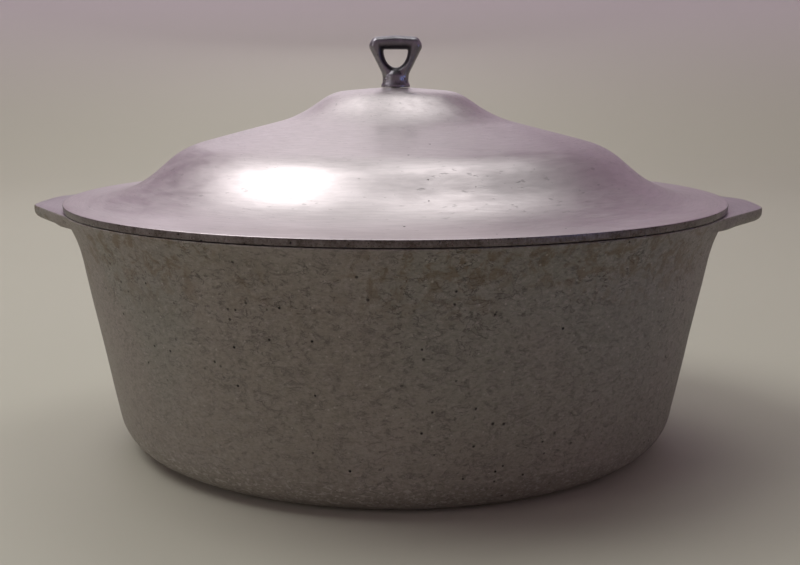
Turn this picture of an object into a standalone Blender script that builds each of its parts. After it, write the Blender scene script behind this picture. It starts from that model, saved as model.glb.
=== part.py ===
"""Covered cast-aluminium pot: a pan with two tab handles, a domed lid and its loop knob.

Metres, +Z up. The pan stands on z = 0 and its two tab handles point along +X and -X.
"""

import math

import bmesh
import bpy
from mathutils import Matrix, Vector

MM = 0.001
SEGMENTS = 72
ARC_STEP = math.radians(7)
ARC_LENGTH = 7 * MM
EDGE_STEP = math.radians(30)
EDGE_LIMIT = 3.2 * MM
GAP = 0.3 * MM

# Pan
RIM_RADIUS = 150 * MM
PAN_HEIGHT = 108 * MM
PAN_WALL = 4.0 * MM
FLOOR_THICKNESS = 5.0 * MM
FOOT_RADIUS = 125.5 * MM
FOOT_CORNER = 19 * MM
WALL_DRAFT = 0.194
FLARE_START = 94.4 * MM
FLARE_RADIUS = 120 * MM
MOUTH_RADIUS = 143 * MM
MOUTH_DEPTH = 5 * MM
RIM_EDGE = 0.5 * MM

# Tab handles
TAB_END_RADIUS = 166 * MM
TAB_FLANK_RADIUS = 149 * MM
TAB_FLANK_ANGLE = math.radians(33)
TAB_CORNER = 4 * MM
TAB_THICKNESS = 5.6 * MM
TAB_ROOT_RADIUS = 146 * MM
TAB_UNDER_EDGE = 3.4 * MM

# Lid, whose heights are above the top of its own rim
LID_WALL = 3.4 * MM
LID_RIM_THICKNESS = 3.0 * MM
CROWN_HEIGHT = 49.3 * MM
CROWN_FLAT = 7.5 * MM
SKIRT_RADIUS = 142.4 * MM
SKIRT_WIDTH = 3.0 * MM
SKIRT_DEPTH = 4.6 * MM
PAD_RADIUS = 9 * MM
PAD_THICKNESS = 4.0 * MM
SCREW_HOLE = 2.3 * MM
LID_CORNERS = (
    (CROWN_FLAT, CROWN_HEIGHT, 8 * MM),
    (28.4 * MM, 47.6 * MM, 20 * MM),
    (45.6 * MM, 36.1 * MM, 55 * MM),
    (97.1 * MM, 22.6 * MM, 35 * MM),
    (122.0 * MM, 1.4 * MM, 50 * MM),
)

# Knob, whose heights are above its own foot
KNOB_HEIGHT = 23.3 * MM
KNOB_THICKNESS = 8.4 * MM
KNOB_EDGE = 2.1 * MM
KNOB_FOOT_RADIUS = 6.7 * MM
KNOB_STEM_START = 1.4 * MM
KNOB_STEM_HALF = 6.1 * MM
KNOB_WAIST = 5.75 * MM
KNOB_WAIST_HEIGHT = 5.2 * MM
KNOB_SHOULDER = 12.5 * MM
KNOB_SHOULDER_HEIGHT = 18.6 * MM
KNOB_TOP_HALF = 10.2 * MM
KNOB_CROWN = 0.7 * MM
LOOP_HALF = 5.85 * MM
LOOP_BOTTOM = 8.4 * MM
LOOP_TOP = 17.2 * MM
LOOP_CORNER = 0.9 * MM
KNOB_BORE_DEPTH = 6.5 * MM

# Screw, washer and lock washer
SCREW_RADIUS = 2.0 * MM
SCREW_HEAD_RADIUS = 3.7 * MM
SCREW_HEAD_HEIGHT = 2.5 * MM
SCREW_REACH = 5.6 * MM
SLOT_WIDTH = 1.0 * MM
SLOT_DEPTH = 1.2 * MM
WASHER_RADIUS = 5.2 * MM
WASHER_THICKNESS = 1.0 * MM
LOCK_RADIUS = 3.8 * MM
LOCK_THICKNESS = 1.1 * MM
LOCK_SPLIT = 0.7 * MM

LID_TOP = PAN_HEIGHT + GAP + LID_RIM_THICKNESS
KNOB_FOOT = LID_TOP + CROWN_HEIGHT + GAP
PAD_UNDER = LID_TOP + CROWN_HEIGHT - PAD_THICKNESS
WASHER_TOP = PAD_UNDER - GAP
LOCK_TOP = WASHER_TOP - WASHER_THICKNESS - GAP
HEAD_TOP = LOCK_TOP - LOCK_THICKNESS - GAP

POT = bpy.data.collections.new("covered_pot")
CUTTERS = bpy.data.collections.new("cutters")


def clear_scene():
    for thing in list(bpy.data.objects):
        bpy.data.objects.remove(thing, do_unlink=True)


def material(name, color, roughness):
    mat = bpy.data.materials.new(name)
    mat.use_nodes = True
    shader = mat.node_tree.nodes["Principled BSDF"]
    shader.inputs["Base Color"].default_value = (*color, 1.0)
    shader.inputs["Roughness"].default_value = roughness
    shader.inputs["Metallic"].default_value = 1.0
    return mat


def place(bm, name, collection, height=0.0, smooth=True):
    bmesh.ops.recalc_face_normals(bm, faces=bm.faces)
    mesh = bpy.data.meshes.new(name)
    bm.to_mesh(mesh)
    bm.free()
    for face in mesh.polygons:
        face.use_smooth = smooth
    thing = bpy.data.objects.new(name, mesh)
    thing.location.z = height
    collection.objects.link(thing)
    if collection is CUTTERS:
        thing.hide_render = True
        thing.display_type = "WIRE"
    return thing


def rounded(corners):
    """Polyline through the corners (x, y, radius), with an arc in place of each corner."""
    points = []
    for i, (x, y, radius) in enumerate(corners):
        here = Vector((x, y))
        if radius == 0 or i in (0, len(corners) - 1):
            points.append(here)
            continue
        back = (Vector(corners[i - 1][:2]) - here).normalized()
        ahead = (Vector(corners[i + 1][:2]) - here).normalized()
        half = back.angle(ahead) / 2
        centre = here + (back + ahead).normalized() * (radius / math.sin(half))
        start = here + back * (radius / math.tan(half)) - centre
        turn = start.angle_signed(here + ahead * (radius / math.tan(half)) - centre)
        step = ARC_STEP if radius > EDGE_LIMIT else EDGE_STEP
        steps = max(2, round(abs(turn) / step), round(abs(turn) * radius / ARC_LENGTH))
        for k in range(steps + 1):
            points.append(centre + Matrix.Rotation(-turn * k / steps, 2) @ start)
    return points


def closed_outline(corners):
    """Rounded outline of a closed polygon of corners (x, y, radius)."""
    loop = rounded([corners[-1], *corners, corners[0]])
    return loop[1:-1]


def offset(corners, distance):
    """The same open run of corners moved sideways by distance, to the right of its direction."""
    lines = []
    for a, b in zip(corners, corners[1:]):
        along = (Vector(b[:2]) - Vector(a[:2])).normalized()
        side = Vector((along.y, -along.x)) * distance
        lines.append((Vector(a[:2]) + side, along, side))
    moved = [(*lines[0][0], 0.0)]
    for (p, u, _), (q, v, _), corner in zip(lines, lines[1:], corners[1:]):
        reach = (q - p).cross(v) / u.cross(v)
        turn = 1 if u.cross(v) > 0 else -1
        moved.append((*(p + u * reach), corner[2] + turn * distance))
    end = Vector(corners[-1][:2]) + lines[-1][2]
    moved.append((*end, 0.0))
    return moved


def turned(name, profile, collection, height=0.0, ring=False):
    """Body of revolution about Z, from a profile that runs down its outer side."""
    bm = bmesh.new()
    verts = [bm.verts.new((p[0], 0.0, p[1])) for p in profile]
    for a, b in zip(verts, verts[1:]):
        bm.edges.new((a, b))
    if ring:
        bm.edges.new((verts[-1], verts[0]))
    mesh = bpy.data.meshes.new(name)
    bm.to_mesh(mesh)
    bm.free()
    thing = bpy.data.objects.new(name, mesh)
    thing.location.z = height
    collection.objects.link(thing)
    screw = thing.modifiers.new("turn", "SCREW")
    screw.steps = SEGMENTS
    screw.render_steps = SEGMENTS
    screw.use_merge_vertices = True
    screw.merge_threshold = 1e-6
    screw.use_smooth_shade = True
    if collection is CUTTERS:
        thing.hide_render = True
        thing.display_type = "WIRE"
    return thing


def slab(name, outline, thickness, collection, height=0.0):
    """Flat plate in XY with the given outline, from z = 0 down to -thickness."""
    bm = bmesh.new()
    face = bm.faces.new([bm.verts.new((p[0], p[1], 0.0)) for p in outline])
    sheet = bmesh.ops.extrude_face_region(bm, geom=[face])["geom"]
    under = [v for v in sheet if isinstance(v, bmesh.types.BMVert)]
    bmesh.ops.translate(bm, verts=under, vec=(0, 0, -thickness))
    return place(bm, name, collection, height, smooth=False)


def boolean(thing, other, operation):
    step = thing.modifiers.new(other.name, "BOOLEAN")
    step.object = other
    step.operation = operation
    step.solver = "EXACT"


def bevel(thing, width, segments, degrees):
    step = thing.modifiers.new("edge", "BEVEL")
    step.width = width
    step.segments = segments
    step.limit_method = "ANGLE"
    step.angle_limit = math.radians(degrees)


def arc(radius, start, end, steps):
    angles = [start + (end - start) * k / steps for k in range(steps + 1)]
    return [(radius * math.cos(a), radius * math.sin(a)) for a in angles]


def tab_outline():
    """Blunt tab: two flanks that leave the rim as tangents, and an end concentric with it."""
    end_angle = TAB_FLANK_ANGLE - math.acos(TAB_FLANK_RADIUS / TAB_END_RADIUS)
    flank_x = TAB_FLANK_RADIUS * math.cos(TAB_FLANK_ANGLE)
    flank_y = TAB_FLANK_RADIUS * math.sin(TAB_FLANK_ANGLE)
    end = [(x, y, 0) for x, y in arc(TAB_END_RADIUS, -end_angle, end_angle, 4)]
    end[0] = (*end[0][:2], TAB_CORNER)
    end[-1] = (*end[-1][:2], TAB_CORNER)
    outer = rounded([(flank_x, -flank_y, 0), *end, (flank_x, flank_y, 0)])
    return outer + arc(TAB_ROOT_RADIUS, TAB_FLANK_ANGLE, -TAB_FLANK_ANGLE, 10)


def tab(name, side):
    outline = [(side * p[0], p[1]) for p in tab_outline()]
    thing = slab(name, outline, TAB_THICKNESS, CUTTERS, PAN_HEIGHT)
    bm = bmesh.new()
    bm.from_mesh(thing.data)
    edges = []
    for edge in bm.edges:
        if all(v.co.z < -TAB_THICKNESS / 2 and v.co.xy.length > TAB_ROOT_RADIUS + MM for v in edge.verts):
            edges.append(edge)
    bmesh.ops.bevel(bm, geom=edges, offset=TAB_UNDER_EDGE, segments=3, profile=0.5, affect="EDGES")
    bm.to_mesh(thing.data)
    bm.free()
    return thing


def pan():
    wall_in = PAN_WALL * math.hypot(1, WALL_DRAFT)
    floor_corner = FOOT_RADIUS - wall_in + WALL_DRAFT * FLOOR_THICKNESS
    flare_radius = FOOT_RADIUS + WALL_DRAFT * FLARE_START
    mouth_floor = PAN_HEIGHT - MOUTH_DEPTH
    ledge = mouth_floor - 6 * MM
    ledge_radius = FOOT_RADIUS - wall_in + WALL_DRAFT * ledge
    corners = [
        (0, FLOOR_THICKNESS, 0),
        (floor_corner, FLOOR_THICKNESS, FOOT_CORNER - PAN_WALL),
        (ledge_radius, ledge, 16 * MM),
        (MOUTH_RADIUS, mouth_floor, 3 * MM),
        (MOUTH_RADIUS, PAN_HEIGHT, RIM_EDGE),
        (RIM_RADIUS, PAN_HEIGHT, RIM_EDGE),
        (flare_radius, FLARE_START, FLARE_RADIUS),
        (FOOT_RADIUS, 0, FOOT_CORNER),
        (0, 0, 0),
    ]
    body = turned("pan", rounded(corners), POT)
    boolean(body, tab("tab_right", 1), "UNION")
    boolean(body, tab("tab_left", -1), "UNION")
    body.data.materials.append(material("pan_cast", (0.20, 0.185, 0.165), 0.55))
    return body


def lid():
    crown_under = CROWN_HEIGHT - PAD_THICKNESS
    seat = -LID_RIM_THICKNESS
    skirt_in = SKIRT_RADIUS - SKIRT_WIDTH
    top = [(0, CROWN_HEIGHT, 0), *LID_CORNERS, (RIM_RADIUS, 0, 0)]
    under = offset(top, LID_WALL)
    flange_in = (*under[-2][:2], LID_CORNERS[-1][2] - 2 * LID_WALL)
    outer = [
        (SCREW_HOLE, CROWN_HEIGHT, 0),
        *LID_CORNERS,
        (RIM_RADIUS, 0, RIM_EDGE),
        (RIM_RADIUS, seat, 0.3 * MM),
        (SKIRT_RADIUS, seat, 0.4 * MM),
        (SKIRT_RADIUS, seat - SKIRT_DEPTH, 0.8 * MM),
        (skirt_in, seat - SKIRT_DEPTH, 0.8 * MM),
        (skirt_in, seat + 0.2 * MM, 2 * MM),
        flange_in,
    ]
    inner = [*reversed(under[2:-2]), (PAD_RADIUS + 1.2 * MM, under[1][1], 0)]
    pad = [(PAD_RADIUS, crown_under, 0), (SCREW_HOLE, crown_under, 0)]
    body = turned("lid", rounded(outer + inner + pad), POT, LID_TOP, ring=True)
    body.data.materials.append(material("lid_brushed", (0.66, 0.62, 0.62), 0.33))
    return body


def knob():
    outline = closed_outline([
        (KNOB_STEM_HALF, KNOB_STEM_START, 0),
        (KNOB_WAIST, KNOB_WAIST_HEIGHT, 8 * MM),
        (KNOB_SHOULDER, KNOB_SHOULDER_HEIGHT, 3.3 * MM),
        (KNOB_TOP_HALF, KNOB_HEIGHT - KNOB_CROWN, 3.3 * MM),
        (0, KNOB_HEIGHT, 0),
        (-KNOB_TOP_HALF, KNOB_HEIGHT - KNOB_CROWN, 3.3 * MM),
        (-KNOB_SHOULDER, KNOB_SHOULDER_HEIGHT, 3.3 * MM),
        (-KNOB_WAIST, KNOB_WAIST_HEIGHT, 8 * MM),
        (-KNOB_STEM_HALF, KNOB_STEM_START, 0),
    ])
    sag = (LOOP_TOP - LOOP_BOTTOM) / LOOP_HALF
    bottom = [(x, LOOP_TOP + y * sag, 0) for x, y in arc(LOOP_HALF, -math.pi, 0, 12)]
    opening = closed_outline([
        (LOOP_HALF, LOOP_TOP, LOOP_CORNER),
        (-LOOP_HALF, LOOP_TOP, LOOP_CORNER),
        *bottom[1:-1],
    ])
    body = slab("knob", outline, KNOB_THICKNESS, POT)
    loop = slab("knob_opening", opening, 3 * KNOB_THICKNESS, CUTTERS)
    for plate in (body, loop):
        depth = plate.dimensions.z / 2
        upright = Matrix.Rotation(math.radians(90), 4, "X") @ Matrix.Translation((0, 0, depth))
        plate.data.transform(upright)
        plate.location.z = KNOB_FOOT
    boolean(body, loop, "DIFFERENCE")
    bevel(body, KNOB_EDGE, 3, 40)
    foot = rounded([
        (0, 5.2 * MM, 0),
        (4.0 * MM, 5.2 * MM, 0),
        (KNOB_WAIST + 0.1 * MM, 3.6 * MM, 4 * MM),
        (KNOB_FOOT_RADIUS, 0.6 * MM, 0),
        (KNOB_FOOT_RADIUS - 0.3 * MM, 0, 0),
        (0, 0, 0),
    ])
    boolean(body, turned("knob_foot", foot, CUTTERS, KNOB_FOOT), "UNION")
    bore = [
        (0, KNOB_BORE_DEPTH, 0),
        (SCREW_HOLE, KNOB_BORE_DEPTH, 0),
        (SCREW_HOLE, -1 * MM, 0),
        (0, -1 * MM, 0),
    ]
    boolean(body, turned("knob_bore", rounded(bore), CUTTERS, KNOB_FOOT), "DIFFERENCE")
    body.data.materials.append(material("knob_polished", (0.42, 0.41, 0.44), 0.22))
    return body


def knob_screw():
    reach = KNOB_FOOT + SCREW_REACH - HEAD_TOP
    profile = rounded([
        (0, reach, 0),
        (SCREW_RADIUS - 0.5 * MM, reach, 0),
        (SCREW_RADIUS, reach - 0.5 * MM, 0),
        (SCREW_RADIUS, 0, 0),
        (SCREW_HEAD_RADIUS, 0, 0.2 * MM),
        (SCREW_HEAD_RADIUS, -SCREW_HEAD_HEIGHT, 1.8 * MM),
        (0, -SCREW_HEAD_HEIGHT, 0),
    ])
    body = turned("knob_screw", profile, POT, HEAD_TOP)
    slot = slab("screw_slot", box_outline(SCREW_HEAD_RADIUS * 3, SLOT_WIDTH), SLOT_DEPTH * 2, CUTTERS)
    slot.location.z = HEAD_TOP - SCREW_HEAD_HEIGHT + SLOT_DEPTH
    boolean(body, slot, "DIFFERENCE")
    body.data.materials.append(material("screw_steel", (0.55, 0.54, 0.52), 0.35))
    return body


def box_outline(length, width):
    x, y = length / 2, width / 2
    return [(x, -y), (x, y), (-x, y), (-x, -y)]


def washer(name, radius, thickness, height):
    profile = [
        (SCREW_HOLE, 0),
        (radius, 0),
        (radius, -thickness),
        (SCREW_HOLE, -thickness),
    ]
    return turned(name, profile, POT, height, ring=True)


def screw_washer():
    body = washer("screw_washer", WASHER_RADIUS, WASHER_THICKNESS, WASHER_TOP)
    body.data.materials.append(material("washer_steel", (0.58, 0.57, 0.55), 0.38))
    return body


def screw_lock_washer():
    body = washer("screw_lock_washer", LOCK_RADIUS, LOCK_THICKNESS, LOCK_TOP)
    split = slab("washer_split", box_outline(LOCK_RADIUS * 2, LOCK_SPLIT), 4 * LOCK_THICKNESS, CUTTERS)
    split.location = (LOCK_RADIUS, 0, LOCK_TOP + 2 * LOCK_THICKNESS)
    boolean(body, split, "DIFFERENCE")
    body.data.materials.append(material("lock_washer_steel", (0.45, 0.44, 0.43), 0.42))
    return body


def lift_point(children):
    """Empty on the lid's lift axis, at its seat, that carries everything that lifts off."""
    seat = bpy.data.objects.new("lid_lift", None)
    seat.location.z = PAN_HEIGHT + GAP
    POT.objects.link(seat)
    for child in children:
        child.parent = seat
        child.matrix_parent_inverse = Matrix.Translation((0, 0, -seat.location.z))


def main():
    clear_scene()
    bpy.context.scene.collection.children.link(POT)
    bpy.context.scene.collection.children.link(CUTTERS)
    pan()
    lift_point([lid(), knob(), knob_screw(), screw_washer(), screw_lock_washer()])


main()
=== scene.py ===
"""Looks of the covered cast-aluminium pot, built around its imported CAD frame. Metres, +Z up."""

import math

import bmesh
import bpy
import numpy as np
from mathutils import Matrix, Vector


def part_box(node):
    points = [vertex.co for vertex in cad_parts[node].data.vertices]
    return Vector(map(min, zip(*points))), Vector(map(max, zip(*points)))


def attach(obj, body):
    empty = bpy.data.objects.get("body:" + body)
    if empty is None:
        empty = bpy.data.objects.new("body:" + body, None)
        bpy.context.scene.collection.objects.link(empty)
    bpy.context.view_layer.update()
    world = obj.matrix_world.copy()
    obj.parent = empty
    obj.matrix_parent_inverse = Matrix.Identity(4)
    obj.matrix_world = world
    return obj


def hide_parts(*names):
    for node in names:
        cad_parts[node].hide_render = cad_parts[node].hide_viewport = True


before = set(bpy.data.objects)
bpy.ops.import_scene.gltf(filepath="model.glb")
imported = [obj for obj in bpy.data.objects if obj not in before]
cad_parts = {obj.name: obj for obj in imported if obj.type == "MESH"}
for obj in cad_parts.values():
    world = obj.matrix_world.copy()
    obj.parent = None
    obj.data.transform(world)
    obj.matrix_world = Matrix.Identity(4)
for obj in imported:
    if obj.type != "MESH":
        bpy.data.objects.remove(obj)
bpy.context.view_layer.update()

MM = 0.001
HAIR = 0.001 * MM  # keeps two corners of an outline from falling together

# Places read from the frame
PAN_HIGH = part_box("pan")[1]
LID_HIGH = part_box("lid")[1]
KNOB_LOW, KNOB_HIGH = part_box("knob")

PAN_HEIGHT = PAN_HIGH.z
TAB_END = PAN_HIGH.x
RIM_RADIUS = LID_HIGH.x
CROWN_TOP = LID_HIGH.z
LID_SEAT = PAN_HEIGHT + 0.3 * MM  # underside of the lid's rim, just above the pan
LID_TOP = LID_SEAT + 3.0 * MM  # top of the lid's rim
KNOB_FOOT = KNOB_LOW.z
HOLE_RADIUS = 2.3 * MM  # screw hole in the crown

# Pan
FLOOR_THICKNESS = 5.0 * MM
WALL = 4.0 * MM
WALL_DRAFT = 0.194
FOOT_RADIUS = 125.5 * MM
FOOT_CORNER = 19 * MM
FLARE_START = 94.4 * MM
FLARE_RADIUS = 54 * MM
MOUTH_RADIUS = 143 * MM
MOUTH_DEPTH = 5 * MM

# Tab handles
TAB_FLANK_RADIUS = 149 * MM
TAB_FLANK_ANGLE = math.radians(33)
TAB_THICKNESS = 5.6 * MM
TAB_CORNER_SOFTNESS = 0.9 * MM
TAB_UNDER_EDGE = 3.6 * MM
TAB_ROOT_FILLET = 4.5 * MM

# Lid corners: radius from the axis, height above the rim's top, rounding
LID_WALL = 3.4 * MM
LID_CORNERS = (
    (28.4 * MM, 47.6 * MM, 20 * MM),
    (45.6 * MM, 36.1 * MM, 55 * MM),
    (97.1 * MM, 22.6 * MM, 35 * MM),
    (122.0 * MM, 1.4 * MM, 50 * MM),
)
CROWN_FLAT = 7.5 * MM
SKIRT_RADIUS = 142.4 * MM
SKIRT_WIDTH = 3.0 * MM
SKIRT_DEPTH = 4.6 * MM
PAD_RADIUS = 9 * MM
PAD_THICKNESS = 4.0 * MM

# Knob; the loop's opening is measured from the knob's foot
KNOB_HALF_DEPTH = 4.2 * MM
KNOB_ROUNDING = 2.4 * MM
LOOP_HALF = 5.55 * MM
LOOP_TOP = 16.9 * MM
LOOP_BOTTOM = 8.8 * MM
KNOB_VOXEL = 0.28 * MM
KNOB_FOOT_SIDES = 48

# Stage
COVE_RADIUS = 2.2
COVE_CORNER = 0.9
COVE_HEIGHT = 2.4
COVE_SIDES = 96

# Camera, in the frame of the pot seen from its front
CAMERA_DISTANCE = 0.5603
CAMERA_HEIGHT = 0.1695
CAMERA_SIDE = 0.0020
CAMERA_PITCH = math.radians(10.10)
CAMERA_TURN = math.radians(2.3)
LENS_MM = 54.2
SENSOR_MM = 36.0


# ---------------------------------------------------------------- mesh helpers


def lined(corners, counts):
    """Polyline through rounded corners (x, y, radius) with a fixed number of points.

    counts gives, for each corner, (points on its arc, points on the straight run after it).
    """
    points = []
    flat = [Vector(c[:2]) for c in corners]
    for i, (corner, (on_arc, on_run)) in enumerate(zip(corners, counts)):
        here = flat[i]
        if i in (0, len(corners) - 1) or corner[2] <= 0:
            arc = [here] * max(1, on_arc)
        else:
            back = (flat[i - 1] - here).normalized()
            ahead = (flat[i + 1] - here).normalized()
            half = back.angle(ahead) / 2
            reach = corner[2] / math.tan(half)
            centre = here + (back + ahead).normalized() * (corner[2] / math.sin(half))
            start = here + back * reach - centre
            turn = start.angle_signed(here + ahead * reach - centre)
            arc = [
                centre + Matrix.Rotation(-turn * k / (on_arc - 1), 2) @ start
                for k in range(on_arc)
            ]
        if points:
            before = points[-1]
            run = counts[i - 1][1]
            points += [before.lerp(arc[0], (k + 1) / (run + 1)) for k in range(run)]
        points += arc
    return points


def offset(corners, distance):
    """The same run of corners moved to the right of its direction by distance."""
    lines = []
    for a, b in zip(corners, corners[1:]):
        along = (Vector(b[:2]) - Vector(a[:2])).normalized()
        side = Vector((along.y, -along.x)) * distance
        lines.append((Vector(a[:2]) + side, along, side))
    moved = [(*lines[0][0], 0.0)]
    for (p, u, _), (q, v, _), corner in zip(lines, lines[1:], corners[1:]):
        reach = (q - p).cross(v) / u.cross(v)
        turn = 1 if u.cross(v) > 0 else -1
        moved.append((*(p + u * reach), corner[2] + turn * distance))
    moved.append((*(Vector(corners[-1][:2]) + lines[-1][2]), 0.0))
    return moved


def waviness(points, size, height, seed):
    """Smooth random height at each point, made of a few sine waves of about the given size."""
    rng = np.random.default_rng(seed)
    total = np.zeros(len(points))
    for _ in range(14):
        direction = rng.normal(size=3)
        direction /= np.linalg.norm(direction)
        wave = 2 * math.pi / (size * rng.uniform(0.7, 1.6))
        total += np.sin(points @ direction * wave + rng.uniform(0, 2 * math.pi))
    return total * height / math.sqrt(7)


def grid_mesh(name, columns, zone_of, closed_ring=False):
    """Mesh from columns of (x, y, z) rows. Its first and last rows are poles unless closed_ring."""
    grid = np.array(columns)
    count, rows = grid.shape[:2]
    verts = [tuple(v) for v in grid.reshape(-1, 3)]
    faces = []
    zones = []
    last = rows if closed_ring else rows - 1
    for c in range(count):
        d = (c + 1) % count
        for r in range(last):
            s = (r + 1) % rows
            if not closed_ring and r == 0:
                faces.append((0, c * rows + s, d * rows + s))
            elif not closed_ring and s == rows - 1:
                faces.append((c * rows + r, s, d * rows + r))
            else:
                faces.append((c * rows + r, c * rows + s, d * rows + s, d * rows + r))
            zones.append(zone_of(r))
    mesh = bpy.data.meshes.new(name)
    mesh.from_pydata(verts, [], faces)
    mesh.polygons.foreach_set("material_index", zones)
    tidy = bmesh.new()
    tidy.from_mesh(mesh)
    loose = [v for v in tidy.verts if not v.link_faces]
    bmesh.ops.delete(tidy, geom=loose, context="VERTS")
    bmesh.ops.recalc_face_normals(tidy, faces=tidy.faces)
    tidy.to_mesh(mesh)
    tidy.free()
    mesh.polygons.foreach_set("use_smooth", [True] * len(mesh.polygons))
    return mesh


def turned_ring(bm, point, count):
    """Vertices of the circle that a profile's point (radius, height) makes round the axis."""
    turns = np.linspace(0, 2 * math.pi, count + 1)[:-1]
    return [bm.verts.new((point.x * math.cos(t), point.x * math.sin(t), point.y)) for t in turns]


def add(name, mesh, materials):
    """New object in the scene with this mesh and these materials."""
    thing = bpy.data.objects.new(name, mesh)
    bpy.context.scene.collection.objects.link(thing)
    for mat in materials:
        mesh.materials.append(mat)
    return thing


def settled(thing):
    """The object with its modifiers applied to its mesh."""
    bpy.context.view_layer.update()
    seen = thing.evaluated_get(bpy.context.evaluated_depsgraph_get())
    mesh = bpy.data.meshes.new_from_object(seen)
    thing.modifiers.clear()
    old = thing.data
    thing.data = mesh
    mesh.name = thing.name
    bpy.data.meshes.remove(old)
    return thing


# ---------------------------------------------------------------- materials


class Nodes:
    """Small helper that adds shader nodes and joins them."""

    def __init__(self, name):
        self.mat = bpy.data.materials.new(name)
        self.mat.use_nodes = True
        self.tree = self.mat.node_tree
        self.shader = self.tree.nodes["Principled BSDF"]
        coordinate = self.tree.nodes.new("ShaderNodeTexCoord")
        self.object = coordinate.outputs["Object"]

    def node(self, kind, **settings):
        made = self.tree.nodes.new(kind)
        for key, value in settings.items():
            setattr(made, key, value)
        return made

    def link(self, source, target):
        self.tree.links.new(source, target)

    def math(self, operation, a, b=0.0):
        made = self.node("ShaderNodeMath", operation=operation)
        for socket, value in zip(made.inputs, (a, b)):
            if isinstance(value, (int, float)):
                socket.default_value = value
            else:
                self.link(value, socket)
        return made.outputs[0]

    def scaled(self, factors):
        """Object coordinates, scaled by a factor along each axis."""
        made = self.node("ShaderNodeMapping")
        made.inputs["Scale"].default_value = factors
        self.link(self.object, made.inputs["Vector"])
        return made.outputs[0]

    def noise(self, scale, detail=4.0, rough=0.55, distortion=0.0, vector=None):
        made = self.node("ShaderNodeTexNoise")
        made.inputs["Scale"].default_value = scale
        made.inputs["Detail"].default_value = detail
        made.inputs["Roughness"].default_value = rough
        made.inputs["Distortion"].default_value = distortion
        self.link(vector or self.object, made.inputs["Vector"])
        return made.outputs["Fac"]

    def ramp(self, source, low, high, start=0.0, end=1.0):
        """Smooth step from start to end as source goes from low to high."""
        made = self.node("ShaderNodeMapRange", interpolation_type="SMOOTHSTEP")
        self.link(source, made.inputs["Value"])
        limits = {"From Min": low, "From Max": high, "To Min": start, "To Max": end}
        for key, value in limits.items():
            made.inputs[key].default_value = value
        return made.outputs["Result"]

    def mix(self, factor, a, b):
        """Colour that goes from a to b as factor goes from 0 to 1."""
        made = self.node("ShaderNodeMix", data_type="RGBA")
        self.link(factor, made.inputs["Factor"])
        for socket, value in ((made.inputs[6], a), (made.inputs[7], b)):
            if isinstance(value, tuple):
                socket.default_value = (*value, 1.0)
            else:
                self.link(value, socket)
        return made.outputs[2]

    def bumped(self, height, distance, strength):
        made = self.node("ShaderNodeBump")
        made.inputs["Strength"].default_value = strength
        made.inputs["Distance"].default_value = distance
        self.link(height, made.inputs["Height"])
        return made.outputs["Normal"]

    def round_lines(self, spread):
        """Coordinate that is stretched round the axis, for marks of turning and wiping."""
        parts = self.node("ShaderNodeSeparateXYZ")
        self.link(self.object, parts.inputs[0])
        x, y, z = parts.outputs
        squares = self.math("ADD", self.math("MULTIPLY", x, x), self.math("MULTIPLY", y, y))
        radius = self.math("SQRT", squares)
        safe = self.math("MAXIMUM", radius, 0.002)
        made = self.node("ShaderNodeCombineXYZ")
        self.link(self.math("ADD", radius, self.math("MULTIPLY", z, 0.8)), made.inputs[0])
        self.link(self.math("MULTIPLY", self.math("DIVIDE", x, safe), spread * MM), made.inputs[1])
        self.link(self.math("MULTIPLY", self.math("DIVIDE", y, safe), spread * MM), made.inputs[2])
        return made.outputs[0]

    def spots(self, scale, size, share):
        """Scattered round spots, 1 inside a spot: the given share of cells has one."""
        found = self.node("ShaderNodeTexVoronoi", feature="F1")
        found.inputs["Scale"].default_value = scale
        found.inputs["Randomness"].default_value = 1.0
        self.link(self.object, found.inputs["Vector"])
        inside = self.ramp(found.outputs["Distance"], size, size * 0.55)
        parts = self.node("ShaderNodeSeparateColor")
        self.link(found.outputs["Color"], parts.inputs[0])
        chosen = self.math("LESS_THAN", parts.outputs[0], share)
        return self.math("MULTIPLY", inside, chosen)

    def finish(self, color, roughness, metallic, normal=None):
        """Joins colour, roughness and relief to the shader, and gives the material."""
        self.link(color, self.shader.inputs["Base Color"])
        if isinstance(roughness, float):
            self.shader.inputs["Roughness"].default_value = roughness
        else:
            self.link(roughness, self.shader.inputs["Roughness"])
        self.shader.inputs["Metallic"].default_value = metallic
        if normal is not None:
            self.link(normal, self.shader.inputs["Normal"])
        return self.mat


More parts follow.
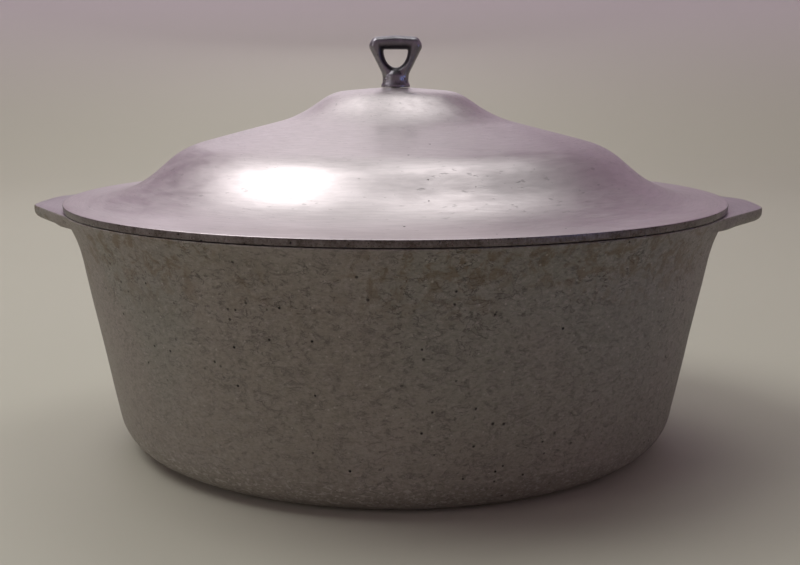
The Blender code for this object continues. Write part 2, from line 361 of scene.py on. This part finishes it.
def cast_outside():
    """Sand-cast skin darkened by years of heat: wrinkles, pits, brown stains, worn specks, and
    painted bounce light that makes it lighter towards the bottom.
    """
    n = Nodes("pan_cast_skin")
    parts = n.node("ShaderNodeSeparateXYZ")
    n.link(n.object, parts.inputs[0])
    height = parts.outputs[2]
    flat = n.scaled((1.0, 1.0, 1.7))
    blotch = n.noise(13, 4, 0.55, 0.5)
    tinge = n.noise(9, 2, 0.5)
    mottle = n.noise(210, 6, 0.72, 0.4, flat)
    grain = n.noise(560, 5, 0.72, vector=flat)
    broken = n.ramp(n.noise(230, 3, 0.6), 0.44, 0.56)
    near_rim = n.ramp(height, 0.045, 0.105, 0.35, 1.0)
    patch = n.ramp(n.noise(20, 3, 0.6, 0.6), 0.40, 0.60, 0.25, 1.0)
    rough_patch = n.math("MULTIPLY", patch, near_rim)
    wrinkle = n.math("ABSOLUTE", n.math("SUBTRACT", n.noise(165, 5, 0.62, 0.9, flat), 0.5))
    groove = n.math("MULTIPLY", n.ramp(wrinkle, 0.034, 0.006), broken)
    ridge_noise = n.math("ABSOLUTE", n.math("SUBTRACT", n.noise(215, 4, 0.6, 1.2, flat), 0.52))
    ridge = n.math("MULTIPLY", n.ramp(ridge_noise, 0.030, 0.004), broken)
    pits = n.spots(165, 0.108, 0.13)
    cluster = n.ramp(n.noise(21, 3, 0.6), 0.50, 0.60)
    pinholes = n.math("MULTIPLY", n.spots(265, 0.18, 0.45), cluster)
    flecks = n.spots(420, 0.24, 0.10)
    worn_marks = n.noise(430, 4, 0.7, 0.5, flat)
    worn = n.math("MULTIPLY", n.ramp(height, 0.022, 0.006), n.ramp(worn_marks, 0.53, 0.62))
    stain_grain = n.ramp(n.noise(150, 5, 0.7, 0.5), 0.47, 0.60)
    stain = n.math("MULTIPLY", stain_grain, n.ramp(n.noise(17, 2, 0.5), 0.42, 0.54))
    under_rim = n.math("MULTIPLY", n.ramp(height, 0.070, 0.104), stain)
    color = n.mix(n.ramp(blotch, 0.35, 0.65), (0.245, 0.221, 0.188), (0.284, 0.256, 0.226))
    color = n.mix(n.ramp(tinge, 0.50, 0.62, 0.0, 0.6), color, (0.232, 0.236, 0.202))
    # painted light: the skin is mixed towards a lighter colour low down, standing in for light
    # bounced up from the floor
    color = n.mix(n.ramp(height, 0.085, 0.020, 0.0, 0.40), color, (0.345, 0.312, 0.272))
    color = n.mix(n.ramp(mottle, 0.50, 0.30, 0.0, 0.28), color, (0.150, 0.130, 0.108))
    color = n.mix(n.ramp(mottle, 0.50, 0.70, 0.0, 0.36), color, (0.36, 0.335, 0.300))
    color = n.mix(n.ramp(grain, 0.50, 0.36, 0.0, 0.42), color, (0.115, 0.100, 0.084))
    color = n.mix(n.ramp(grain, 0.52, 0.68, 0.0, 0.60), color, (0.38, 0.35, 0.315))
    groove_share = n.math("MULTIPLY", groove, n.math("MULTIPLY", rough_patch, 0.80))
    ridge_share = n.math("MULTIPLY", ridge, n.math("MULTIPLY", rough_patch, 0.60))
    color = n.mix(groove_share, color, (0.055, 0.047, 0.038))
    color = n.mix(ridge_share, color, (0.44, 0.41, 0.37))
    color = n.mix(n.math("MULTIPLY", under_rim, 0.60), color, (0.150, 0.100, 0.052))
    color = n.mix(n.math("MULTIPLY", flecks, 0.50), color, (0.46, 0.43, 0.39))
    color = n.mix(n.math("MULTIPLY", worn, 0.80), color, (0.52, 0.48, 0.45))
    color = n.mix(n.math("MULTIPLY", pinholes, 0.90), color, (0.020, 0.017, 0.014))
    color = n.mix(pits, color, (0.008, 0.007, 0.006))
    broad_rough = n.ramp(blotch, 0.3, 0.7, 0.50, 0.60)
    rough = n.math("ADD", broad_rough, n.ramp(grain, 0.3, 0.7, -0.05, 0.05))
    relief = n.math("ADD", n.math("MULTIPLY", mottle, 0.7), n.math("MULTIPLY", grain, 0.45))
    relief = n.math("ADD", relief, n.math("MULTIPLY", ridge, 0.22))
    relief = n.math("SUBTRACT", relief, n.math("MULTIPLY", groove, 0.35))
    relief = n.math("SUBTRACT", relief, n.math("MULTIPLY", n.math("MAXIMUM", pits, pinholes), 1.5))
    return n.finish(color, rough, 0.4, n.bumped(relief, 0.40 * MM, 0.8))


def turned_metal(name, dark, light, rough_low, rough_high, relief=0.03 * MM, contrast=0.3):
    """Machined or hand-rubbed aluminium, with fine marks round the axis and small dark pits."""
    n = Nodes(name)
    lines = n.noise(1800, 3, 0.6, vector=n.round_lines(6))
    wipes = n.noise(500, 3, 0.55, vector=n.round_lines(16))
    cloud = n.noise(14, 3, 0.5, 0.4)
    pits = n.spots(120, 0.070, 0.24)
    smudge = n.ramp(n.noise(170, 4, 0.65, 0.8), 0.66, 0.76)
    scratches = n.ramp(n.noise(1500, 2, 0.5, vector=n.round_lines(16)), 0.66, 0.72)
    color = n.mix(n.ramp(cloud, 0.3, 0.7), dark, light)
    color = n.mix(n.ramp(lines, 0.35, 0.68, 0.0, contrast), color, tuple(0.75 * c for c in dark))
    color = n.mix(n.math("MULTIPLY", smudge, 0.30), color, tuple(0.55 * c for c in dark))
    color = n.mix(n.math("MULTIPLY", scratches, 0.40), color, tuple(0.45 * c for c in dark))
    color = n.mix(n.math("MULTIPLY", pits, 0.90), color, (0.05, 0.045, 0.045))
    rough = n.ramp(wipes, 0.3, 0.7, rough_low, rough_high)
    height = n.math("ADD", n.math("MULTIPLY", lines, 0.8), n.math("MULTIPLY", wipes, 1.6))
    height = n.math("SUBTRACT", height, n.math("MULTIPLY", scratches, 0.6))
    height = n.math("SUBTRACT", height, n.math("MULTIPLY", pits, 3.0))
    return n.finish(color, rough, 1.0, n.bumped(height, relief, 0.6))


def rim_edge():
    """The lid's narrow outer edge: darker and pitted."""
    n = Nodes("lid_rim_edge")
    grain = n.noise(900, 4, 0.65)
    patches = n.noise(90, 4, 0.6, 0.6)
    pits = n.spots(420, 0.24, 0.30)
    color = n.mix(n.ramp(patches, 0.35, 0.65), (0.085, 0.066, 0.064), (0.165, 0.14, 0.145))
    color = n.mix(n.ramp(grain, 0.45, 0.7, 0.0, 0.5), color, (0.26, 0.235, 0.25))
    color = n.mix(pits, color, (0.02, 0.018, 0.018))
    rough = n.ramp(grain, 0.3, 0.7, 0.24, 0.42)
    height = n.math("SUBTRACT", grain, n.math("MULTIPLY", pits, 2.0))
    return n.finish(color, rough, 1.0, n.bumped(height, 0.08 * MM, 0.8))


def plain_metal(name, dark, light, rough_low, rough_high):
    """Small steel hardware, slightly cloudy."""
    n = Nodes(name)
    cloud = n.noise(400, 4, 0.6)
    color = n.mix(n.ramp(cloud, 0.3, 0.7), dark, light)
    rough = n.ramp(n.noise(1200, 3, 0.6), 0.3, 0.7, rough_low, rough_high)
    return n.finish(color, rough, 1.0, n.bumped(n.noise(1600, 2), 0.02 * MM, 0.5))


# ---------------------------------------------------------------- pan


def tab_reach(angle):
    """Distance from the axis to the pan's outline at this angle: the rim, or a tab beyond it."""
    away = abs((angle + math.pi / 2) % math.pi - math.pi / 2)
    if away >= TAB_FLANK_ANGLE:
        return RIM_RADIUS
    flank = TAB_FLANK_RADIUS / math.cos(TAB_FLANK_ANGLE - away)
    gap = (TAB_END - flank) / TAB_CORNER_SOFTNESS
    if gap > 30:
        reach = flank
    elif gap < -30:
        reach = TAB_END
    else:
        reach = TAB_END - TAB_CORNER_SOFTNESS * math.log1p(math.exp(gap))
    return max(RIM_RADIUS, reach)


def pan_corners(angle):
    """Corners of the pan's half section at this angle, from the inside floor to the underside."""
    reach = tab_reach(angle)
    inside = WALL * math.hypot(1, WALL_DRAFT)
    ledge = PAN_HEIGHT - MOUTH_DEPTH - 6 * MM
    flare_x = FOOT_RADIUS + WALL_DRAFT * FLARE_START
    under = PAN_HEIGHT - TAB_THICKNESS
    slope = (RIM_RADIUS - flare_x) / (PAN_HEIGHT - FLARE_START)
    root = flare_x + slope * (under - FLARE_START)
    out = min(1.0, (reach - RIM_RADIUS) / (3 * MM))
    out = out * out * (3 - 2 * out)
    low = root + (reach - root) * out
    room = low - root
    return [
        (0, FLOOR_THICKNESS, 0),
        (FOOT_RADIUS - inside + WALL_DRAFT * FLOOR_THICKNESS, FLOOR_THICKNESS, FOOT_CORNER - WALL),
        (FOOT_RADIUS - inside + WALL_DRAFT * ledge, ledge, 16 * MM),
        (MOUTH_RADIUS, PAN_HEIGHT - MOUTH_DEPTH, 3 * MM),
        (MOUTH_RADIUS, PAN_HEIGHT, 0.6 * MM),
        (reach, PAN_HEIGHT, 0.45 * MM),
        (low + HAIR, under, max(HAIR, min(TAB_UNDER_EDGE, 0.45 * room))),
        (root, under - HAIR, max(HAIR, min(TAB_ROOT_FILLET, 0.5 * room))),
        (flare_x, FLARE_START, FLARE_RADIUS),
        (FOOT_RADIUS, 0, FOOT_CORNER),
        (0, 0, 0),
    ]


# For each corner: points on its arc, points on the run after it
PAN_COUNTS = [
    (1, 14), (8, 16), (5, 2), (4, 3), (4, 5), (4, 3),
    (5, 5), (6, 2), (7, 20), (12, 14), (1, 0),
]


def first_rows(counts):
    """Number of the first mesh row of each corner."""
    starts = [0]
    for on_arc, on_run in counts:
        starts.append(starts[-1] + on_arc + on_run)
    return starts


def pan_zone(row):
    """Material of the faces after this row: inside, ground rim, cast outside or underside."""
    starts = first_rows(PAN_COUNTS)
    if row < starts[4]:
        return 0
    if row < starts[5]:
        return 1
    if row < starts[9] + 11:
        return 2
    return 3


def pan_angles():
    """Directions of the pan's mesh columns, closer together at the tabs."""
    angles = []
    step = 0.0
    while step < 360.0 - 1e-6:
        angles.append(math.radians(step))
        away = abs((step + 90) % 180 - 90)
        step += 0.5 if away < 40 else 1.0
    return angles


def build_pan():
    """The pan's casting, with slight dents in its outside."""
    angles = pan_angles()
    profiles = [lined(pan_corners(a), PAN_COUNTS) for a in angles]
    columns = []
    for a, profile in zip(angles, profiles):
        columns.append([(p.x * math.cos(a), p.x * math.sin(a), p.y) for p in profile])
    grid = np.array(columns)
    flat = grid.reshape(-1, 3)
    radius = np.hypot(flat[:, 0], flat[:, 1])
    height = flat[:, 2]
    side = np.clip((radius - 100 * MM) / (30 * MM), 0, 1)
    side *= np.clip(height / (20 * MM), 0, 1) * np.clip((PAN_HEIGHT - height) / (15 * MM), 0, 1)
    bulge = waviness(flat, 45 * MM, 0.12 * MM, 3) + waviness(flat, 9 * MM, 0.018 * MM, 4)
    for axis in (0, 1):
        flat[:, axis] *= 1 + side * bulge / np.maximum(radius, 1 * MM)
    mesh = grid_mesh("pan_casting", grid, pan_zone)
    materials = [
        turned_metal("pan_turned_inside", (0.50, 0.49, 0.48), (0.62, 0.61, 0.60), 0.30, 0.44),
        turned_metal(
            "pan_ground_rim", (0.47, 0.43, 0.445), (0.54, 0.49, 0.51), 0.32, 0.42, contrast=0.15
        ),
        cast_outside(),
        turned_metal("pan_turned_underside", (0.30, 0.29, 0.28), (0.42, 0.41, 0.40), 0.34, 0.50),
    ]
    pan = add("pan_casting", mesh, materials)
    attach(pan, "pan")
    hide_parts("pan")


# ---------------------------------------------------------------- lid


def lid_corners():
    crown = CROWN_TOP - LID_TOP
    seat = LID_SEAT - LID_TOP
    inner = SKIRT_RADIUS - SKIRT_WIDTH
    top = [(0, crown, 0), (CROWN_FLAT, crown, 8 * MM), *LID_CORNERS, (RIM_RADIUS, 0, 0)]
    under = offset(top, LID_WALL)
    pad = crown - PAD_THICKNESS
    flange_in = (*under[-2][:2], LID_CORNERS[-1][2] - 2 * LID_WALL)
    return [
        (HOLE_RADIUS, crown, 0),
        (CROWN_FLAT, crown, 8 * MM),
        *LID_CORNERS,
        (RIM_RADIUS, 0, 0.45 * MM),
        (RIM_RADIUS - 0.25 * MM, seat, 0.35 * MM),
        (SKIRT_RADIUS, seat, 0.5 * MM),
        (SKIRT_RADIUS, seat - SKIRT_DEPTH, 0.9 * MM),
        (inner, seat - SKIRT_DEPTH, 0.9 * MM),
        (inner, seat + 0.2 * MM, 2 * MM),
        flange_in,
        *reversed(under[2:-2]),
        (PAD_RADIUS + 2 * MM, under[1][1], 1.5 * MM),
        (PAD_RADIUS, pad, 0.8 * MM),
        (HOLE_RADIUS, pad, 0),
    ]


# The same for each corner of the lid
LID_COUNTS = [
    (1, 3), (3, 6), (10, 3), (12, 14), (12, 8), (16, 10),
    (5, 3), (4, 4), (4, 3), (5, 2), (5, 3), (5, 6),
    (12, 6), (9, 12), (9, 3), (8, 6), (4, 2), (4, 3), (1, 0),
]


def lid_zone(row):
    """Material of the faces after this row: rubbed top, outer edge or turned underside."""
    starts = first_rows(LID_COUNTS)
    if row < starts[6] + 2:
        return 0
    if row < starts[7] + 3:
        return 1
    return 2


def build_lid():
    """The lid's casting, with a top that is slightly uneven."""
    profile = lined(lid_corners(), LID_COUNTS)
    columns = []
    for k in range(360):
        a = math.radians(k)
        columns.append([(p.x * math.cos(a), p.x * math.sin(a), p.y + LID_TOP) for p in profile])
    grid = np.array(columns)
    flat = grid.reshape(-1, 3)
    radius = np.hypot(flat[:, 0], flat[:, 1])
    body = np.clip((RIM_RADIUS - 2 * MM - radius) / (15 * MM), 0, 1)
    body *= np.clip((radius - 14 * MM) / (14 * MM), 0, 1)
    flat[:, 2] += body * waviness(flat * (1, 1, 0.2), 42 * MM, 0.10 * MM, 11)
    mesh = grid_mesh("lid_casting", grid, lid_zone, closed_ring=True)
    materials = [
        turned_metal(
            "lid_rubbed_top", (0.562, 0.510, 0.514), (0.607, 0.548, 0.550), 0.33, 0.42,
            relief=0.09 * MM, contrast=0.36,
        ),
        rim_edge(),
        turned_metal("lid_turned_under", (0.46, 0.45, 0.44), (0.58, 0.57, 0.56), 0.30, 0.46),
    ]
    lid = add("lid_casting", mesh, materials)
    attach(lid, "lid")
    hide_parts("lid")


# ---------------------------------------------------------------- knob


def knob_outlines():
    """Outer outline and loop opening of the knob, seen from the front, above its foot."""
    height = KNOB_HIGH.z - KNOB_LOW.z
    half = [
        (0, 1.4 * MM, 0),
        (6.1 * MM, 1.4 * MM, 0.3 * MM),
        (5.75 * MM, 5.2 * MM, 8 * MM),
        (12.5 * MM, 18.6 * MM, 3.3 * MM),
        (10.2 * MM, height - 0.7 * MM, 3.3 * MM),
        (0, height, 0),
    ]
    counts = [(1, 5), (3, 4), (10, 12), (12, 3), (10, 10), (1, 0)]
    right = lined(half, counts)
    outer = right + [Vector((-p.x, p.y)) for p in reversed(right[1:-1])]
    sag = LOOP_TOP - LOOP_BOTTOM
    curve = []
    for k in range(49):
        t = math.pi * k / 48 - math.pi
        curve.append(Vector((LOOP_HALF * math.cos(t), LOOP_TOP + sag * math.sin(t))))
    flat = [Vector((LOOP_HALF * (1 - k / 12), LOOP_TOP)) for k in range(1, 24)]
    return outer, curve + flat


def inset(outline, distance):
    """The closed outline moved inward (to the left of its direction) by distance."""
    moved = []
    count = len(outline)
    for i, p in enumerate(outline):
        along = (outline[(i + 1) % count] - outline[i - 1]).normalized()
        moved.append(p + Vector((-along.y, along.x)) * distance)
    return moved


def knob_body():
    """Flat loop with fully rounded bars, as stacked outlines that shrink towards each face."""
    outer, inner = knob_outlines()
    layers = []
    steps = 9
    for k in range(-steps, steps + 1):
        lift = math.sin(k / steps * math.pi / 2)
        shrink = KNOB_ROUNDING * (1 - math.sqrt(max(0.0, 1 - lift * lift)))
        layers.append((lift * KNOB_HALF_DEPTH, shrink))
    bm = bmesh.new()
    rings = []
    for depth, shrink in layers:
        both = (inset(outer, shrink), inset(inner, -shrink))
        rings.append([[bm.verts.new((p.x, depth, p.y)) for p in line] for line in both])
    for below, above in zip(rings, rings[1:]):
        for a, b in zip(below, above):
            for i in range(len(a)):
                j = (i + 1) % len(a)
                bm.faces.new((a[i], a[j], b[j], b[i]))
    for ring in (rings[0], rings[-1]):
        edges = []
        for line in ring:
            for i in range(len(line)):
                edges.append(bm.edges.get((line[i], line[(i + 1) % len(line)])))
        bmesh.ops.triangle_fill(bm, use_beauty=True, edges=edges)
    return bm


def build_knob():
    """The loop and its turned foot, fused into one casting."""
    bm = knob_body()
    foot = lined(
        [
            (0, 0, 0),
            (6.65 * MM, 0, 0.3 * MM),
            (6.65 * MM, 0.8 * MM, 0.9 * MM),
            (5.75 * MM, 2.7 * MM, 3 * MM),
            (5.75 * MM, 5.4 * MM, 3 * MM),
            (4.1 * MM, 7.9 * MM, 1.5 * MM),
            (0, 7.9 * MM, 0),
        ],
        [(1, 2), (3, 1), (3, 3), (6, 2), (6, 3), (4, 3), (1, 0)],
    )
    sides = KNOB_FOOT_SIDES
    rings = [turned_ring(bm, p, sides) for p in foot[1:-1]]
    for below, above in zip(rings, rings[1:]):
        for i in range(sides):
            j = (i + 1) % sides
            bm.faces.new((below[i], below[j], above[j], above[i]))
    for ring, p in ((rings[0], foot[0]), (rings[-1], foot[-1])):
        tip = bm.verts.new((0, 0, p.y))
        for i in range(sides):
            bm.faces.new((ring[i], ring[(i + 1) % sides], tip))
    bmesh.ops.recalc_face_normals(bm, faces=bm.faces)
    mesh = bpy.data.meshes.new("knob_casting")
    bm.to_mesh(mesh)
    bm.free()
    mesh.transform(Matrix.Translation((0, 0, KNOB_FOOT)))
    knob = add("knob_casting", mesh, [])
    fuse = knob.modifiers.new("fuse", "REMESH")
    fuse.mode = "VOXEL"
    fuse.voxel_size = KNOB_VOXEL
    fuse.use_smooth_shade = True
    soften = knob.modifiers.new("soften", "SMOOTH")
    soften.factor = 0.5
    soften.iterations = 3
    settled(knob)
    knob.data.materials.clear()
    knob.data.materials.append(polished_knob())
    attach(knob, "lid")
    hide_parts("knob")


def polished_knob():
    """Buffed aluminium, with painted shade darkening the inner edges of the loop, which is also
    made a little rougher there.
    """
    n = Nodes("knob_polished_skin")
    cloud = n.noise(300, 4, 0.6)
    wipe = n.noise(1800, 3, 0.6, vector=n.scaled((1.0, 1.0, 0.15)))
    parts = n.node("ShaderNodeSeparateXYZ")
    n.link(n.object, parts.inputs[0])
    above = n.math("SUBTRACT", parts.outputs[2], KNOB_FOOT + LOOP_TOP)
    across = n.math("DIVIDE", parts.outputs[0], LOOP_HALF + 1.0 * MM)
    down = n.math("DIVIDE", n.math("MINIMUM", above, 0.0), LOOP_TOP - LOOP_BOTTOM)
    squares = n.math("ADD", n.math("MULTIPLY", across, across), n.math("MULTIPLY", down, down))
    near_loop = n.ramp(n.math("SQRT", squares), 1.24, 1.06)
    # painted shade: darkens the inner edges of the loop, where the rounded bars turn away from the
    # light
    painted_loop_shade = n.math("MULTIPLY", near_loop, n.ramp(above, 3.2 * MM, 1.0 * MM))
    color = n.mix(n.ramp(cloud, 0.3, 0.7), (0.20, 0.19, 0.205), (0.28, 0.265, 0.285))
    color = n.mix(n.math("MULTIPLY", painted_loop_shade, 0.85), color, (0.030, 0.026, 0.030))
    rough = n.math("ADD", n.ramp(wipe, 0.3, 0.7, 0.27, 0.38), n.math("MULTIPLY", painted_loop_shade, 0.12))
    return n.finish(color, rough, 1.0, n.bumped(wipe, 0.02 * MM, 0.5))


# ---------------------------------------------------------------- small hardware


def finish_small_parts():
    """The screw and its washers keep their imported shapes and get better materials."""
    looks = {
        "knob_screw": plain_metal(
            "screw_plated", (0.48, 0.47, 0.44), (0.60, 0.59, 0.56), 0.26, 0.42
        ),
        "screw_washer": plain_metal(
            "washer_stamped", (0.50, 0.49, 0.47), (0.62, 0.61, 0.59), 0.30, 0.46
        ),
        "screw_lock_washer": plain_metal(
            "spring_washer", (0.34, 0.33, 0.32), (0.46, 0.45, 0.44), 0.34, 0.50
        ),
    }
    for node, look in looks.items():
        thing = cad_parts[node]
        for slot in thing.material_slots:
            slot.material = look


# ---------------------------------------------------------------- stage, lights, camera


def build_stage():
    """Pale round cove: a flat floor that curves up into a plain wall on every side."""
    corners = [(0, 0, 0), (COVE_RADIUS, 0, COVE_CORNER), (COVE_RADIUS, COVE_HEIGHT, 0)]
    profile = lined(corners, [(1, 10), (14, 8), (1, 0)])
    mesh = bpy.data.meshes.new("cove")
    bm = bmesh.new()
    rings = [turned_ring(bm, p, COVE_SIDES) for p in profile[1:]]
    tip = bm.verts.new((0, 0, 0))
    for i in range(COVE_SIDES):
        bm.faces.new((tip, rings[0][i], rings[0][(i + 1) % COVE_SIDES]))
    for a, b in zip(rings, rings[1:]):
        for i in range(COVE_SIDES):
            j = (i + 1) % COVE_SIDES
            bm.faces.new((a[i], b[i], b[j], a[j]))
    bm.to_mesh(mesh)
    bm.free()
    mesh.polygons.foreach_set("use_smooth", [True] * len(mesh.polygons))
    n = Nodes("cove_paint")
    parts = n.node("ShaderNodeSeparateXYZ")
    n.link(n.object, parts.inputs[0])
    height = n.ramp(parts.outputs[2], 0.02, 0.6)
    color = n.mix(height, (0.535, 0.52, 0.42), (0.79, 0.635, 0.785))
    n.finish(color, 0.6, 0.0)
    cove = add("cove", mesh, [n.mat])


def area_light(name, place, target, size, power, color):
    """Round soft lamp at place that shines towards target."""
    data = bpy.data.lights.new(name, "AREA")
    data.shape = "DISK"
    data.size = size
    data.energy = power
    data.color = color
    lamp = bpy.data.objects.new(name, data)
    lamp.visible_camera = False
    lamp.location = place
    lamp.rotation_euler = (Vector(target) - Vector(place)).to_track_quat("-Z", "Y").to_euler()
    bpy.context.scene.collection.objects.link(lamp)
    return lamp


def build_lights():
    """Soft lamps above and behind the pot, a wash on the wall and a cool glint on the knob."""
    world = bpy.data.worlds.new("studio")
    bpy.context.scene.world = world
    bpy.context.scene.view_settings.view_transform = "Standard"
    world.use_nodes = True
    back = world.node_tree.nodes["Background"]
    back.inputs["Color"].default_value = (1.0, 0.95, 1.0, 1)
    back.inputs["Strength"].default_value = 0.02
    aim = Vector((0, 0, 0.11))
    white = (1.0, 1.0, 1.0)
    lamps = (
        # name, direction from the pot, distance, size, power, colour
        ("key", (-0.40, 0.255, 0.89), 1.25, 0.26, 0.68, white),
        ("second", (0.25, 0.35, 0.90), 1.6, 0.8, 1.45, white),
        ("overhead", (0.08, 0.12, 0.99), 1.7, 0.9, 3.0, white),
        ("high_back", (0.16, 0.50, 0.84), 1.8, 0.9, 0.65, white),
        ("right_high", (0.50, 0.30, 0.81), 1.8, 0.9, 0.85, white),
        ("left_back", (-0.61, 0.43, 0.67), 1.8, 1.1, 0.6, white),
        ("back", (-0.21, 0.62, 0.75), 1.8, 1.15, 2.5, white),
        ("low_back", (-0.10, 0.93, 0.35), 1.8, 1.0, 1.4, white),
        ("top_left", (-0.55, -0.02, 1.0), 1.8, 1.2, 9.7, white),
        ("left_far", (-0.80, 0.15, 0.90), 1.8, 1.1, 4.4, white),
        ("low_left", (-0.80, -0.50, 0.25), 1.8, 0.6, 2.0, white),
    )
    for name, direction, distance, size, power, color in lamps:
        place = aim + Vector(direction).normalized() * distance
        area_light(name, place, aim, size, power, color)
    area_light("wall_wash", (-0.2, 0.9, 1.35), (-0.3, 2.2, 1.0), 0.8, 3.0, white)
    blue = (0.22, 0.38, 1.0)
    glint = area_light("blue_glint", (0.95, -0.55, 0.19), (0, 0, 0.165), 0.26, 0.008, blue)
    glint.data.spread = math.radians(9)


def build_camera():
    """Camera in front of the pot, a little above it and slightly round to its right."""
    turn = Matrix.Rotation(CAMERA_TURN, 4, "Z")
    place = turn @ Vector((CAMERA_SIDE, -CAMERA_DISTANCE, CAMERA_HEIGHT))
    data = bpy.data.cameras.new("camera")
    data.lens = LENS_MM
    data.sensor_width = SENSOR_MM
    camera = bpy.data.objects.new("camera", data)
    camera.location = place
    camera.rotation_euler = (math.pi / 2 - CAMERA_PITCH, 0, CAMERA_TURN)
    bpy.context.scene.collection.objects.link(camera)
    bpy.context.scene.camera = camera


build_pan()
build_lid()
build_knob()
finish_small_parts()
build_stage()
build_lights()
build_camera()
bpy.context.view_layer.update()
